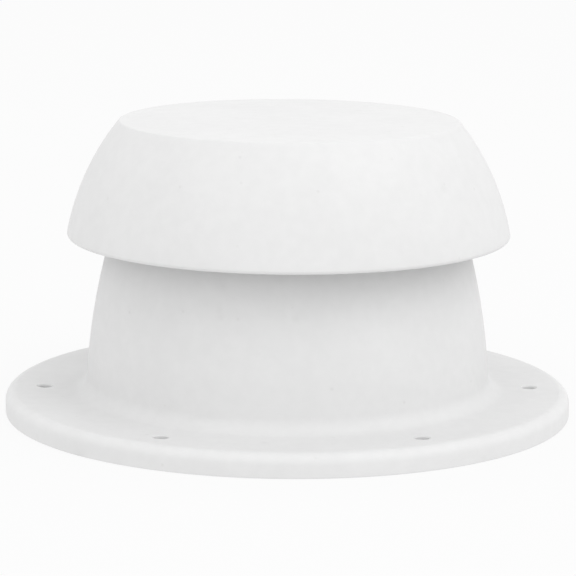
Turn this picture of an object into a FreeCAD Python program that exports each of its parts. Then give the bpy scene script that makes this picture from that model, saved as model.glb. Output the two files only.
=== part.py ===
"""Screw-down mushroom vent for a boat deck or a camper roof, in millimetres.

A round ABS deck flange carries a bell-shaped neck. A mushroom cap stands over the neck and
keeps rain out while air leaves between the cap's skirt and the neck. The cap hangs on a screw
spindle: a hand knob under the vent turns the spindle, two guide pins keep the cap from turning,
and the cap comes down until the seal under it meets the lip of the neck.

Frame: +Z up, origin at the centre of the flange's underside, first mounting hole on +X.
The model stands fully open. Three groups move against each other: base, spindle and cap.
"""

import os
from math import sqrt

import FreeCAD
import Part

V = FreeCAD.Vector

# Driving dimensions of the outer shape
FLANGE_R = 105.0
FLANGE_RIM_H = 8.5
FLANGE_EDGE_R = 4.2
FLANGE_DISH = 0.95  # how far the flange sags between its rim and the neck
NECK_BASE_R = 75.2
NECK_ARC_R = 235.0  # the neck's side is an arc that stands upright at the deck
NECK_H = 80.0
NECK_FILLET_R = 6.0
CAP_RIM_R = 82.1
CAP_RIM_Z = 65.7
CAP_ARC_R = 92.3
CAP_ARC_Z = 50.1  # height of the arc's centre, where the side would stand upright
CAP_CORNER_Z = 108.3
CAP_CROWN = 0.8  # rise of the flat top at its middle
CAP_EDGE_R = 2.2
WALL = 3.0
TRAVEL = 14.0  # the cap's way from open to shut

# Mounting and gasket
HOLE_CIRCLE_R = 90.5
HOLE_COUNT = 6
HOLE_R = 2.7
HOLE_BEVEL = 0.4
SPACER_R = 6.0  # spacer boss that stops the gasket from being crushed
GASKET_T = 3.0
GASKET_IN_R = 76.4
GASKET_OUT_R = 101.6
RIM_WALL = 3.0
GASKET_GAP = 0.4

# Bridge across the throat, and what hangs under it
BRIDGE_Z = 20.6
BRIDGE_T = 6.0
BRIDGE_RING_R = 70.6
BRIDGE_RING_W = 11.8
ARM_COUNT = 4
ARM_W = 8.0
HUB_R = 12.5
HUB_H = 16.0
HUB_FOOT_R = 17.5
HUB_FOOT_T = 2.6
GUIDE_R = 30.0  # distance of a guide pin from the axis
GUIDE_PIN_R = 3.0
GUIDE_TOWER_R = 6.2
GUIDE_TOWER_TOP = 50.0
GUIDE_PIN_FOOT_Z = 42.0
LUG_IN_R = 62.5
LUG_W = 11.0
LUG_H = 12.0
BRIDGE_SCREW_R = 67.0
MESH_T = 0.5
MESH_OUT_R = 63.0
MESH_IN_R = 14.2
FRAME_T = 2.0
FRAME_OUT_R = 63.2
FRAME_RING_W = 5.0
FRAME_HUB_R = 17.5
FRAME_HUB_IN_R = 13.8
FRAME_SPOKES = 8
FRAME_SPOKE_W = 2.4
FRAME_SCREW_R = 60.7

# Spindle and knob
SPINDLE_R = 5.0
RUN_GAP = 0.05  # radial clearance of every running fit
PIN_SEAT_GAP = 0.02  # radial clearance of a pin in the hole that holds it
BUSH_R = 8.0
BUSH_FLANGE_R = 11.0
BUSH_FLANGE_T = 1.5
WASHER_R = 10.0
WASHER_T = 1.0
COLLAR_R = 9.0
COLLAR_T = 2.5
CLIP_T = 1.0
CLIP_R = 7.6
END_FLOAT = 0.1  # axial play of the spindle
GROOVE_R = 4.0
SPINDLE_TAIL_R = 4.0
SPINDLE_FOOT_Z = 8.0
SPINDLE_TOP_Z = 90.6
STOP_CLIP_Z = 88.8
STOP_CLIP_R = 6.8
D_FLAT = 3.0  # distance of the tail's flat from the axis
KNOB_R = 20.5
KNOB_FOOT_Z = 2.5
KNOB_H = 13.0
KNOB_LOBES = 6
KNOB_SCALLOP_R = 6.5
KNOB_NECK_R = 8.5
KNOB_EDGE_R = 1.2

# Seal plate inside the cap
PLATE_R = 64.5
PLATE_RIM_W = 10.8
PLATE_BOTTOM_Z = 96.3
PLATE_T = 3.0
PLATE_RIM_DROP = 1.0
SEAL_W = 6.0
SEAL_H = 4.0
SEAL_CLEAR = 0.3  # left between seal and lip when shut
BOSS_R = 16.0
NUT_BODY_R = 8.5
NUT_FLANGE_R = 15.5
NUT_FLANGE_T = 2.5
NUT_BODY_H = 12.0
NUT_BOTTOM_Z = 74.0
NUT_SCREW_R = 12.2
NUT_SCREWS = 3
PLATE_SCREW_R = 42.0
PLATE_SCREWS = 4
CAP_BOSS_R = 5.0
PIN_HEAD_R = 4.5
PIN_HEAD_T = 2.0
PIN_BOSS_R = 6.0
PIN_BOSS_DROP = 6.0
CAP_RIBS = 8
CAP_RIB_W = 2.0
CAP_RIB_IN_R = 14.0
CAP_RIB_OUT_R = 60.0
CAP_RIB_DROP = 4.0

# Derived places
DECK = 0.0
NECK_CENTRE_R = NECK_BASE_R - NECK_ARC_R
CAP_CENTRE_R = CAP_RIM_R - sqrt(CAP_ARC_R**2 - (CAP_RIM_Z - CAP_ARC_Z) ** 2)
BRIDGE_TOP = BRIDGE_Z + BRIDGE_T
HUB_TOP = BRIDGE_Z + HUB_H
MESH_Z = BRIDGE_Z - MESH_T
FRAME_Z = MESH_Z - FRAME_T
BUSH_TOP = HUB_TOP + BUSH_FLANGE_T
CLIP_TOP = BRIDGE_Z - END_FLOAT - WASHER_T
KNOB_TOP_Z = CLIP_TOP - 2 * CLIP_T
LIP_R = NECK_CENTRE_R + sqrt((NECK_ARC_R - WALL / 2) ** 2 - NECK_H**2)
SEAL_Z = NECK_H + TRAVEL + SEAL_CLEAR
PLATE_TOP = PLATE_BOTTOM_Z + PLATE_T
PLATE_RIM_Z = PLATE_BOTTOM_Z - PLATE_RIM_DROP
CEILING_Z = CAP_CORNER_Z - WALL
NUT_BODY_Z = NUT_BOTTOM_Z + NUT_FLANGE_T
NUT_TOP = NUT_BODY_Z + NUT_BODY_H


# Building blocks ---------------------------------------------------------------------------


def line(a, b):
    """Straight edge between two (radius, height) points."""
    return Part.LineSegment(V(a[0], 0, a[1]), V(b[0], 0, b[1])).toShape()


def arc(a, mid, b):
    """Arc edge through three (radius, height) points."""
    return Part.Arc(*(V(p[0], 0, p[1]) for p in (a, mid, b))).toShape()


def turned(edges):
    """Solid of revolution about the vent's axis from a closed chain of edges."""
    face = Part.Face(Part.Wire(Part.__sortEdges__(edges)))
    return face.revolve(V(0, 0, 0), V(0, 0, 1), 360)


def turned_outline(*points):
    """Solid of revolution from straight runs between (radius, height) points."""
    ends = points[1:] + points[:1]
    return turned([line(a, b) for a, b in zip(points, ends)])


def rod(radius, z0, z1, x=0.0, y=0.0):
    """Upright cylinder between two heights."""
    return Part.makeCylinder(radius, z1 - z0, V(x, y, z0))


def ring(outer, inner, z0, z1, x=0.0, y=0.0):
    """Upright tube between two heights."""
    return rod(outer, z0, z1, x, y).cut(rod(inner, z0 - 1, z1 + 1, x, y))


def bar(r0, r1, width, z0, z1):
    """Flat bar lying along +X from one radius to another."""
    return Part.makeBox(r1 - r0, width, z1 - z0, V(r0, -width / 2, z0))


def spun(shape, count, first=0.0):
    """Copies of a shape at even angles about the vent's axis."""
    copies = []
    for k in range(count):
        turned_copy = shape.copy()
        turned_copy.rotate(V(0, 0, 0), V(0, 0, 1), first + k * 360.0 / count)
        copies.append(turned_copy)
    return copies


def joined(first, others):
    """One solid from several that meet."""
    return first.multiFuse(others).removeSplitter()


def edges_on_circle(shape, radius, z, tolerance=0.05):
    """The full circular edges of a shape that lie at one radius and height."""
    found = []
    for edge in shape.Edges:
        if edge.Degenerated:
            continue
        curve = edge.Curve
        if isinstance(curve, Part.Circle) and abs(curve.Radius - radius) < tolerance:
            centre = curve.Center
            if abs(centre.z - z) < tolerance and centre.x**2 + centre.y**2 < 1e-6:
                found.append(edge)
    return found


def rounded(shape, radius, *circles):
    """Fillets the circular edges given as (radius, height)."""
    edges = [e for r, z in circles for e in edges_on_circle(shape, r, z)]
    return shape.makeFillet(radius, edges)


def neck_r(z, inset=0.0):
    """Radius of the neck's side at a height, inset from its outer face."""
    return NECK_CENTRE_R + sqrt((NECK_ARC_R - inset) ** 2 - z**2)


def cap_r(z, inset=0.0):
    """Radius of the cap's side at a height, inset from its outer face."""
    return CAP_CENTRE_R + sqrt((CAP_ARC_R - inset) ** 2 - (z - CAP_ARC_Z) ** 2)


def screw(shank_r, length, head_r, head_h, x=0.0, z=0.0):
    """Pan-head screw standing upright, its head's bearing face at height z and its head below."""
    head = turned(
        [
            line((0, z - head_h), (head_r * 0.6, z - head_h)),
            arc(
                (head_r * 0.6, z - head_h),
                (head_r * 0.92, z - head_h * 0.62),
                (head_r, z),
            ),
            line((head_r, z), (0, z)),
            line((0, z), (0, z - head_h)),
        ]
    )
    tip = Part.makeCone(shank_r, shank_r * 0.3, shank_r, V(0, 0, z + length - shank_r))
    whole = joined(head, [rod(shank_r, z - 0.1, z + length - shank_r), tip])
    whole.translate(V(x, 0, 0))
    return whole


# Base group --------------------------------------------------------------------------------


def base_shell():
    """Deck flange, bell neck and the four lugs inside it, moulded in one piece."""
    crown_r = FLANGE_R - FLANGE_EDGE_R
    edge_z = FLANGE_RIM_H - FLANGE_EDGE_R
    quarter = FLANGE_EDGE_R * sqrt(0.5)
    toe_r = neck_r(FLANGE_RIM_H)
    dish_r = (crown_r + toe_r) / 2
    lip_z = NECK_H - WALL / 2
    lip_out, lip_in = neck_r(lip_z), neck_r(lip_z, WALL)
    mid_z = lip_z / 2
    channel_in = GASKET_IN_R - GASKET_GAP
    channel_out = FLANGE_R - RIM_WALL
    shell = turned(
        [
            line((FLANGE_R, DECK), (FLANGE_R, edge_z)),
            arc(
                (FLANGE_R, edge_z),
                (crown_r + quarter, edge_z + quarter),
                (crown_r, FLANGE_RIM_H),
            ),
            arc(
                (crown_r, FLANGE_RIM_H),
                (dish_r, FLANGE_RIM_H - FLANGE_DISH),
                (toe_r, FLANGE_RIM_H),
            ),
            arc(
                (toe_r, FLANGE_RIM_H),
                (neck_r((FLANGE_RIM_H + lip_z) / 2), (FLANGE_RIM_H + lip_z) / 2),
                (lip_out, lip_z),
            ),
            arc((lip_out, lip_z), ((lip_out + lip_in) / 2, NECK_H), (lip_in, lip_z)),
            arc(
                (lip_in, lip_z), (neck_r(mid_z, WALL), mid_z), (neck_r(0, WALL), DECK)
            ),
            line((neck_r(0, WALL), DECK), (channel_in, DECK)),
            line((channel_in, DECK), (channel_in, GASKET_T)),
            line((channel_in, GASKET_T), (channel_out, GASKET_T)),
            line((channel_out, GASKET_T), (channel_out, DECK)),
            line((channel_out, DECK), (FLANGE_R, DECK)),
        ]
    )
    shell = rounded(shell, NECK_FILLET_R, (toe_r, FLANGE_RIM_H))
    spacer = rod(SPACER_R, DECK, GASKET_T, HOLE_CIRCLE_R)
    shell = joined(shell, spun(spacer, HOLE_COUNT) + spun(lug(), ARM_COUNT))
    hole_top = FLANGE_RIM_H - FLANGE_DISH
    hole = rod(HOLE_R, DECK - 1, FLANGE_RIM_H + 1, HOLE_CIRCLE_R)
    bevel = Part.makeCone(
        HOLE_R,
        HOLE_R + 2 * HOLE_BEVEL,
        2 * HOLE_BEVEL,
        V(HOLE_CIRCLE_R, 0, hole_top - HOLE_BEVEL),
    )
    pilot = rod(2.0, BRIDGE_TOP - 1, BRIDGE_TOP + LUG_H - 3, BRIDGE_SCREW_R)
    cuts = spun(hole, HOLE_COUNT) + spun(bevel, HOLE_COUNT) + spun(pilot, ARM_COUNT)
    return shell.cut(Part.makeCompound(cuts))


def lug():
    """Sloping block on the neck's inner wall that the bridge is screwed up against."""
    wall_r = neck_r(BRIDGE_TOP, WALL / 2)
    high_r = neck_r(BRIDGE_TOP + LUG_H + 6, WALL / 2)
    low, shoulder, high = BRIDGE_TOP, BRIDGE_TOP + LUG_H - 2, BRIDGE_TOP + LUG_H + 6
    corners = [
        (LUG_IN_R, low),
        (LUG_IN_R, shoulder),
        (high_r, high),
        (wall_r, low),
        (LUG_IN_R, low),
    ]
    face = Part.Face(Part.makePolygon([V(r, -LUG_W / 2, z) for r, z in corners]))
    return face.extrude(V(0, LUG_W, 0))


def deck_gasket():
    """Foam ring in the channel under the flange, open round the spacer bosses."""
    foam = ring(GASKET_OUT_R, GASKET_IN_R, DECK, GASKET_T)
    holes = spun(
        rod(SPACER_R + GASKET_GAP, DECK - 1, GASKET_T + 1, HOLE_CIRCLE_R), HOLE_COUNT
    )
    return foam.cut(Part.makeCompound(holes))


def bridge():
    """Ring, four arms, hub and two guide towers, moulded in one piece."""
    outer = ring(
        BRIDGE_RING_R, BRIDGE_RING_R - BRIDGE_RING_W, BRIDGE_Z, BRIDGE_TOP
    )
    hub = rod(HUB_R, BRIDGE_Z, HUB_TOP)
    foot = rod(HUB_FOOT_R, BRIDGE_Z, BRIDGE_Z + HUB_FOOT_T)
    arm = bar(HUB_R - 2, BRIDGE_RING_R - BRIDGE_RING_W + 2, ARM_W, BRIDGE_Z, BRIDGE_TOP)
    tower = rod(GUIDE_TOWER_R, BRIDGE_Z, GUIDE_TOWER_TOP, GUIDE_R)
    body = joined(
        outer, [hub, foot] + spun(arm, ARM_COUNT) + spun(tower, 2, first=90.0)
    )
    bore = rod(BUSH_R, BRIDGE_Z - 1, HUB_TOP + 1)
    guide_bore = rod(
        GUIDE_PIN_R + RUN_GAP, BRIDGE_Z + 2, GUIDE_TOWER_TOP + 1, GUIDE_R
    )
    screw_hole = rod(2.2, BRIDGE_Z - 1, BRIDGE_TOP + 1, BRIDGE_SCREW_R)
    pilot = rod(1.55, BRIDGE_Z - 1, BRIDGE_TOP - 0.8, FRAME_SCREW_R)
    cuts = [bore] + spun(guide_bore, 2, first=90.0) + spun(screw_hole, ARM_COUNT)
    cuts += spun(pilot, ARM_COUNT, first=45.0)
    return body.cut(Part.makeCompound(cuts))


def spindle_bush():
    """Flanged brass bush pressed into the bridge's hub."""
    body = joined(
        rod(BUSH_R, BRIDGE_Z, HUB_TOP), [rod(BUSH_FLANGE_R, HUB_TOP, BUSH_TOP)]
    )
    return body.cut(rod(SPINDLE_R + RUN_GAP, BRIDGE_Z - 1, BUSH_TOP + 1))


def bridge_screws():
    """Four screws that hold the bridge up against the lugs."""
    one = screw(1.95, BRIDGE_T + 8.5, 3.2, 2.3, BRIDGE_SCREW_R, BRIDGE_Z)
    return Part.makeCompound(spun(one, ARM_COUNT))


def insect_mesh():
    """Disc of woven wire cloth, as one plate of the cloth's thickness."""
    disc = ring(MESH_OUT_R, MESH_IN_R, MESH_Z, BRIDGE_Z)
    holes = spun(rod(1.8, MESH_Z - 1, BRIDGE_Z + 1, FRAME_SCREW_R), ARM_COUNT, 45.0)
    return disc.cut(Part.makeCompound(holes))


def mesh_frame():
    """Spoked clamp ring under the wire cloth."""
    outer = ring(FRAME_OUT_R, FRAME_OUT_R - FRAME_RING_W, FRAME_Z, MESH_Z)
    hub = ring(FRAME_HUB_R, FRAME_HUB_IN_R, FRAME_Z, MESH_Z)
    spoke = bar(
        FRAME_HUB_R - 1,
        FRAME_OUT_R - FRAME_RING_W + 1,
        FRAME_SPOKE_W,
        FRAME_Z,
        MESH_Z,
    )
    frame = joined(outer, [hub] + spun(spoke, FRAME_SPOKES, first=22.5))
    holes = spun(rod(1.8, FRAME_Z - 1, MESH_Z + 1, FRAME_SCREW_R), ARM_COUNT, 45.0)
    return frame.cut(Part.makeCompound(holes))


def frame_screws():
    """Four small screws that hold the clamp ring."""
    one = screw(1.5, FRAME_T + MESH_T + 4.5, 2.4, 1.8, FRAME_SCREW_R, FRAME_Z)
    return Part.makeCompound(spun(one, ARM_COUNT, first=45.0))


# Spindle group -----------------------------------------------------------------------------


def spindle():
    """Turned rod: D-shaped tail, journal, collar and screw end at the thread's outer diameter."""
    collar_z = BUSH_TOP + WASHER_T
    body = turned_outline(
        (0, SPINDLE_FOOT_Z),
        (SPINDLE_TAIL_R, SPINDLE_FOOT_Z),
        (SPINDLE_TAIL_R, KNOB_TOP_Z),
        (SPINDLE_R, KNOB_TOP_Z),
        (SPINDLE_R, CLIP_TOP - CLIP_T),
        (GROOVE_R, CLIP_TOP - CLIP_T),
        (GROOVE_R, CLIP_TOP),
        (SPINDLE_R, CLIP_TOP),
        (SPINDLE_R, collar_z),
        (COLLAR_R, collar_z),
        (COLLAR_R, collar_z + COLLAR_T),
        (SPINDLE_R, collar_z + COLLAR_T),
        (SPINDLE_R, STOP_CLIP_Z),
        (GROOVE_R, STOP_CLIP_Z),
        (GROOVE_R, STOP_CLIP_Z + CLIP_T),
        (SPINDLE_R, STOP_CLIP_Z + CLIP_T),
        (SPINDLE_R, SPINDLE_TOP_Z - 0.4),
        (SPINDLE_R - 0.4, SPINDLE_TOP_Z),
        (0, SPINDLE_TOP_Z),
    )
    flat = Part.makeBox(10, 20, KNOB_TOP_Z - SPINDLE_FOOT_Z, V(D_FLAT, -10, SPINDLE_FOOT_Z))
    tapped = rod(2.05, SPINDLE_FOOT_Z - 1, SPINDLE_FOOT_Z + 9)
    return body.cut(flat).cut(tapped)


def spring_clip(radius, z):
    """Retaining ring with its open side, which snaps into a groove of the spindle."""
    clip = ring(radius, GROOVE_R, z, z + CLIP_T)
    mouth = Part.makeBox(
        radius + 1, GROOVE_R * 1.5, CLIP_T + 2, V(0, -GROOVE_R * 0.75, z - 1)
    )
    return clip.cut(mouth)


def retaining_clip():
    """Clip below the lower washer that keeps the spindle from lifting."""
    return spring_clip(CLIP_R, CLIP_TOP - CLIP_T)


def stop_clip():
    """Clip at the spindle's top that stops the cap when it is fully open."""
    return spring_clip(STOP_CLIP_R, STOP_CLIP_Z)


def lower_washer():
    """Nylon thrust washer between the bush and the clip."""
    return ring(WASHER_R, SPINDLE_R + RUN_GAP, CLIP_TOP, CLIP_TOP + WASHER_T)


def upper_washer():
    """Nylon thrust washer between the bush's flange and the spindle's collar."""
    return ring(WASHER_R, SPINDLE_R + RUN_GAP, BUSH_TOP, BUSH_TOP + WASHER_T)


def hand_knob():
    """Six-lobed knob on the spindle's tail, with its screw sunk in a recess."""
    top = KNOB_FOOT_Z + KNOB_H
    body = rod(KNOB_R, KNOB_FOOT_Z, top)
    scallop = rod(
        KNOB_SCALLOP_R, KNOB_FOOT_Z - 1, top + 1, KNOB_R + KNOB_SCALLOP_R * 0.45
    )
    body = body.cut(Part.makeCompound(spun(scallop, KNOB_LOBES, first=30.0)))
    rims = [e for e in body.Edges if abs(e.BoundBox.ZLength) < 1e-6]
    body = body.makeFillet(KNOB_EDGE_R, rims)
    body = joined(body, [rod(KNOB_NECK_R, top - 1, KNOB_TOP_Z)])
    bore = rod(SPINDLE_TAIL_R + 0.02, SPINDLE_FOOT_Z, KNOB_TOP_Z + 1)
    flat = Part.makeBox(10, 20, KNOB_TOP_Z, V(D_FLAT + 0.02, -10, SPINDLE_FOOT_Z))
    recess = rod(5.2, KNOB_FOOT_Z - 1, SPINDLE_FOOT_Z - 2)
    hole = rod(2.2, KNOB_FOOT_Z, SPINDLE_FOOT_Z + 1)
    return body.cut(bore.cut(flat)).cut(recess).cut(hole)


def knob_washer():
    """Plain washer under the knob screw's head."""
    seat = SPINDLE_FOOT_Z - 2
    return ring(4.6, 2.1, seat - 0.8, seat)


def knob_screw():
    """Screw from below that holds the knob on the spindle."""
    return screw(2.0, 10.0, 3.8, 2.0, 0.0, SPINDLE_FOOT_Z - 2.8)


# Cap group ---------------------------------------------------------------------------------


def cap_shell():
    """Mushroom cap with ribs and screw bosses under its flat top, moulded in one piece."""
    corner_r = cap_r(CAP_CORNER_Z)
    inner_corner_r = cap_r(CEILING_Z, WALL)
    inner_rim_r = cap_r(CAP_RIM_Z, WALL)
    mid_z = (CAP_RIM_Z + CAP_CORNER_Z) / 2
    inner_mid_z = (CAP_RIM_Z + CEILING_Z) / 2
    half = corner_r / 2
    shell = turned(
        [
            line((inner_rim_r, CAP_RIM_Z), (CAP_RIM_R, CAP_RIM_Z)),
            arc(
                (CAP_RIM_R, CAP_RIM_Z), (cap_r(mid_z), mid_z), (corner_r, CAP_CORNER_Z)
            ),
            arc(
                (corner_r, CAP_CORNER_Z),
                (half, CAP_CORNER_Z + CAP_CROWN * 0.75),
                (0, CAP_CORNER_Z + CAP_CROWN),
            ),
            line((0, CAP_CORNER_Z + CAP_CROWN), (0, CEILING_Z)),
            line((0, CEILING_Z), (inner_corner_r, CEILING_Z)),
            arc(
                (inner_corner_r, CEILING_Z),
                (cap_r(inner_mid_z, WALL), inner_mid_z),
                (inner_rim_r, CAP_RIM_Z),
            ),
        ]
    )
    shell = rounded(shell, CAP_EDGE_R, (corner_r, CAP_CORNER_Z))
    shell = rounded(shell, 1.3, (CAP_RIM_R, CAP_RIM_Z))
    shell = rounded(shell, 0.9, (inner_rim_r, CAP_RIM_Z))
    rib = bar(CAP_RIB_IN_R, CAP_RIB_OUT_R, CAP_RIB_W, CEILING_Z - CAP_RIB_DROP, CEILING_Z + 1)
    collar = ring(
        CAP_RIB_IN_R + 2, CAP_RIB_IN_R, CEILING_Z - CAP_RIB_DROP, CEILING_Z + 1
    )
    boss = rod(CAP_BOSS_R, PLATE_TOP, CEILING_Z + 1, PLATE_SCREW_R)
    shell = joined(
        shell,
        [collar] + spun(rib, CAP_RIBS, first=22.5) + spun(boss, PLATE_SCREWS, 45.0),
    )
    pilot = rod(1.75, PLATE_TOP - 1, CEILING_Z, PLATE_SCREW_R)
    return shell.cut(Part.makeCompound(spun(pilot, PLATE_SCREWS, first=45.0)))


def seal_plate():
    """Disc with the seal's groove, the nut's boss and the guide pins' bosses."""
    groove_out = LIP_R + SEAL_W / 2
    groove_in = LIP_R - SEAL_W / 2
    disc = rod(PLATE_R, PLATE_BOTTOM_Z, PLATE_TOP)
    rim = ring(PLATE_R, PLATE_R - PLATE_RIM_W, PLATE_RIM_Z, PLATE_TOP)
    boss = rod(BOSS_R, NUT_BODY_Z, PLATE_TOP)
    pin_boss = rod(PIN_BOSS_R, PLATE_BOTTOM_Z - PIN_BOSS_DROP, PLATE_TOP, GUIDE_R)
    web = bar(BOSS_R - 1, PLATE_R - PLATE_RIM_W + 1, 2.4, PLATE_BOTTOM_Z - 4, PLATE_TOP)
    plate = joined(
        disc, [rim, boss] + spun(pin_boss, 2, first=90.0) + spun(web, 4)
    )
    cuts = [
        ring(groove_out, groove_in, PLATE_RIM_Z - 1, SEAL_Z + SEAL_H),
        rod(NUT_BODY_R, NUT_BODY_Z - 1, NUT_TOP),
        rod(STOP_CLIP_R + 0.6, NUT_TOP - 1, PLATE_TOP + 1),
    ]
    pin_hole = rod(
        GUIDE_PIN_R + PIN_SEAT_GAP,
        PLATE_BOTTOM_Z - PIN_BOSS_DROP - 1,
        PLATE_TOP + 1,
        GUIDE_R,
    )
    screw_hole = rod(2.0, PLATE_BOTTOM_Z - 1, PLATE_TOP + 1, PLATE_SCREW_R)
    nut_pilot = rod(1.55, NUT_BODY_Z - 1, NUT_BODY_Z + 8, NUT_SCREW_R)
    cuts += spun(pin_hole, 2, first=90.0) + spun(screw_hole, PLATE_SCREWS, first=45.0)
    cuts += spun(nut_pilot, NUT_SCREWS, first=30.0)
    return plate.cut(Part.makeCompound(cuts))


def seal_ring():
    """Rubber ring in the plate's groove that meets the neck's lip when the vent is shut."""
    return ring(LIP_R + SEAL_W / 2, LIP_R - SEAL_W / 2, SEAL_Z, SEAL_Z + SEAL_H)


def seal_plate_screws():
    """Four screws that hold the seal plate up to the cap's bosses."""
    one = screw(1.7, PLATE_T + 5.0, 3.3, 2.2, PLATE_SCREW_R, PLATE_BOTTOM_Z)
    return Part.makeCompound(spun(one, PLATE_SCREWS, first=45.0))


def lift_nut():
    """Flanged brass nut that climbs the spindle, with its thread as a plain running bore."""
    body = joined(
        rod(NUT_FLANGE_R, NUT_BOTTOM_Z, NUT_BODY_Z), [rod(NUT_BODY_R, NUT_BODY_Z, NUT_TOP)]
    )
    holes = spun(
        rod(1.7, NUT_BOTTOM_Z - 1, NUT_BODY_Z + 1, NUT_SCREW_R), NUT_SCREWS, 30.0
    )
    holes.append(rod(SPINDLE_R + RUN_GAP, NUT_BOTTOM_Z - 1, NUT_TOP + 1))
    return body.cut(Part.makeCompound(holes))


def lift_nut_screws():
    """Three screws through the nut's flange."""
    one = screw(1.5, NUT_FLANGE_T + 6.5, 2.6, 1.8, NUT_SCREW_R, NUT_BOTTOM_Z)
    return Part.makeCompound(spun(one, NUT_SCREWS, first=30.0))


def guide_pins():
    """Two headed pins fixed in the plate, which slide in the bridge's towers."""
    shank = rod(GUIDE_PIN_R, GUIDE_PIN_FOOT_Z + 0.6, PLATE_TOP, GUIDE_R)
    nose = Part.makeCone(
        GUIDE_PIN_R - 0.6, GUIDE_PIN_R, 0.6, V(GUIDE_R, 0, GUIDE_PIN_FOOT_Z)
    )
    head = rod(PIN_HEAD_R, PLATE_TOP, PLATE_TOP + PIN_HEAD_T, GUIDE_R)
    return Part.makeCompound(spun(joined(shank, [nose, head]), 2, first=90.0))


NODES = {
    "base_shell": base_shell,
    "deck_gasket": deck_gasket,
    "bridge": bridge,
    "bridge_screws": bridge_screws,
    "spindle_bush": spindle_bush,
    "insect_mesh": insect_mesh,
    "mesh_frame": mesh_frame,
    "frame_screws": frame_screws,
    "spindle": spindle,
    "upper_washer": upper_washer,
    "lower_washer": lower_washer,
    "retaining_clip": retaining_clip,
    "stop_clip": stop_clip,
    "hand_knob": hand_knob,
    "knob_washer": knob_washer,
    "knob_screw": knob_screw,
    "cap_shell": cap_shell,
    "seal_plate": seal_plate,
    "seal_ring": seal_ring,
    "seal_plate_screws": seal_plate_screws,
    "lift_nut": lift_nut,
    "lift_nut_screws": lift_nut_screws,
    "guide_pins": guide_pins,
}


def main():
    os.makedirs("parts", exist_ok=True)
    for name, make in NODES.items():
        shape = make()
        if not shape.isValid():
            raise ValueError(f"{name} is not a valid shape")
        shape.exportStep(f"parts/{name}.step")
        print(f"{name}: {len(shape.Solids)} solid(s), {shape.Volume / 1000:.2f} cm3")


main()
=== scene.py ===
from math import cos, pi, radians, sin, sqrt

import bmesh
import bpy
from mathutils import Matrix, Vector


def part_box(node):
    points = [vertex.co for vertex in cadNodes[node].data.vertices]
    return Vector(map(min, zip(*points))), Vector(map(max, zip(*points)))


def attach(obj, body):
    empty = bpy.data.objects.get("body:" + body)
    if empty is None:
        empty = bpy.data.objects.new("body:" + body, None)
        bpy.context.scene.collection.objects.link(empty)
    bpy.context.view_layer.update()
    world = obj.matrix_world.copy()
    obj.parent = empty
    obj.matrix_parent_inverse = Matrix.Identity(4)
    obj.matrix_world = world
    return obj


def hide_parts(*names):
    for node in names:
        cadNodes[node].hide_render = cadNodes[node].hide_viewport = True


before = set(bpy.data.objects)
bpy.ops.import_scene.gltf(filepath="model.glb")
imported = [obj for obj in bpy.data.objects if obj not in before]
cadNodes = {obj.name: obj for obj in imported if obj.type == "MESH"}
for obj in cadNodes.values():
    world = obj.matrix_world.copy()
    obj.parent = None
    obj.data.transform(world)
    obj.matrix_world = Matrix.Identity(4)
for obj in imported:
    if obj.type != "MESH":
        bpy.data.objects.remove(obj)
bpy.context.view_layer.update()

mm = 0.001
weldGap = 0.003  # millimetres: corners closer than this are one corner
scene = bpy.context.scene


# small helpers

def linear(hexColor):
    channels = [int(hexColor[i:i + 2], 16) / 255 for i in (1, 3, 5)]
    toLinear = [c / 12.92 if c <= 0.04045 else ((c + 0.055) / 1.055) ** 2.4 for c in channels]
    return (*toLinear, 1.0)


def addNode(tree, kind, inputs=None, **settings):
    # adds one node; an input is a value, a hex colour, a socket, or a node for its first output in use
    node = tree.nodes.new(kind)
    for key, value in settings.items():
        setattr(node, key, value)
    for key, value in (inputs or {}).items():
        for item in value if isinstance(value, list) else [value]:
            if isinstance(item, bpy.types.Node):
                item = next(socket for socket in item.outputs if socket.enabled)
            if isinstance(item, bpy.types.NodeSocket):
                tree.links.new(item, node.inputs[key])
            else:
                isColor = isinstance(item, str) and item.startswith("#")
                node.inputs[key].default_value = linear(item) if isColor else item
    return node


def newTree(name, inputs):
    tree = bpy.data.node_groups.new(name, "GeometryNodeTree")
    face = tree.interface
    face.new_socket(name="Geometry", in_out="INPUT", socket_type="NodeSocketGeometry")
    for label, kind in inputs.items():
        face.new_socket(name=label, in_out="INPUT", socket_type="NodeSocket" + kind)
    face.new_socket(name="Finish", in_out="INPUT", socket_type="NodeSocketMaterial")
    face.new_socket(name="Geometry", in_out="OUTPUT", socket_type="NodeSocketGeometry")
    return tree, tree.nodes.new("NodeGroupInput").outputs


def closeTree(tree, given, geometry):
    # every tree ends the same way, so that the result can become a plain mesh
    real = addNode(tree, "GeometryNodeRealizeInstances", {"Geometry": geometry})
    shown = addNode(tree, "GeometryNodeSetMaterial", {"Geometry": real, "Material": given["Finish"]})
    addNode(tree, "NodeGroupOutput", {"Geometry": shown})


def runTree(piece, tree, finish, **values):
    # puts the tree on the piece, sets its inputs and keeps the result as a plain mesh
    modifier = piece.modifiers.new(tree.name, "NODES")
    modifier.node_group = tree
    values["Finish"] = finish
    for item in tree.interface.items_tree:
        wanted = item.name.replace(" ", "")
        if item.in_out == "INPUT" and wanted in values:
            modifier[item.identifier] = values[wanted]
    keepResult(piece)
    return piece


def keepResult(piece):
    # the modifiers' result becomes the piece's own plain mesh
    graph = bpy.context.evaluated_depsgraph_get()
    graph.update()
    mesh = bpy.data.meshes.new_from_object(piece.evaluated_get(graph), depsgraph=graph)
    piece.modifiers.clear()
    piece.data = mesh


def newPiece(name, points=(), edges=(), faces=()):
    # points are in millimetres
    mesh = bpy.data.meshes.new(name)
    mesh.from_pydata([Vector(p) * mm for p in points], edges, faces)
    piece = bpy.data.objects.new(name, mesh)
    scene.collection.objects.link(piece)
    return piece


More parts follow.
